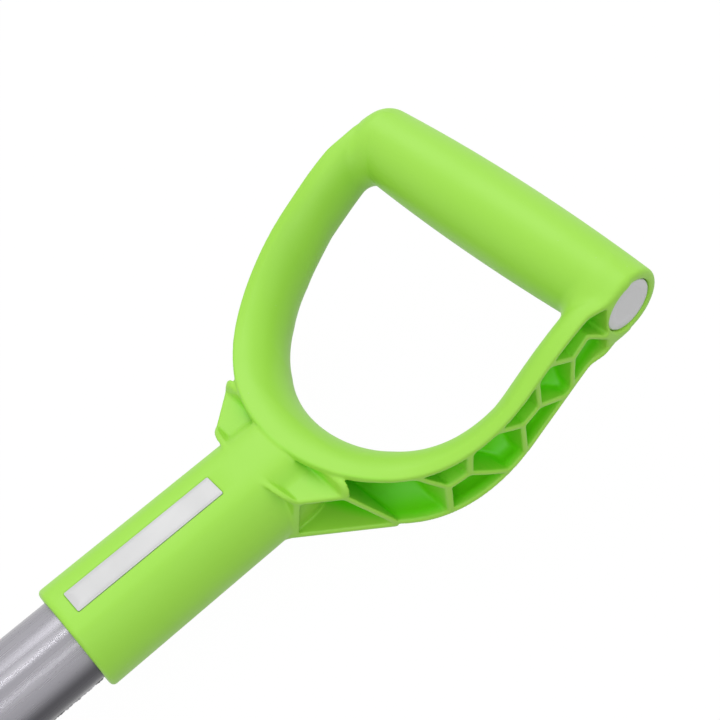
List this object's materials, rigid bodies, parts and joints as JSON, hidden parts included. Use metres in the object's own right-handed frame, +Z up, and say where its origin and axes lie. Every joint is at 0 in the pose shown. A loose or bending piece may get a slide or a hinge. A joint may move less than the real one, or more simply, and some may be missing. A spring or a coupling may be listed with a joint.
{
  "type": "digging spade",
  "caption": "Digging spade lying on its back: pressed steel blade with treads and a socket, tubular steel shaft, and a moulded D-shaped grip with honeycomb ribs in its sides.",
  "frame": {"origin": "middle of the bounding box at its lowest level, where the spade lies on its back", "axes": "+Y along the shaft from the blade's tip to the grip, +X along the grip's crossbar, +Z up out of the front side with the label"},
  "size_m": [0.19, 1.18, 0.0793],
  "materials": {
    "grip_plastic": "satin lime green moulded plastic",
    "plug_plastic": "light grey moulded plastic",
    "label": "glossy white, bare",
    "tube_steel": "silver grey coated steel tube with fine streaks along it",
    "blade_steel": "dark grey powder coated steel",
    "fastener": "zinc plated steel"
  },
  "bodies": {
    "root": {"d_grip": "grip_plastic", "grip_plug": "plug_plastic", "label_plate": "label", "grip_screw": "fastener", "shaft_tube": "tube_steel", "blade": "blade_steel", "tread_right": "blade_steel", "tread_left": "blade_steel", "socket_rivet_lower": "fastener", "socket_rivet_upper": "fastener"}
  },
  "joints": []
}
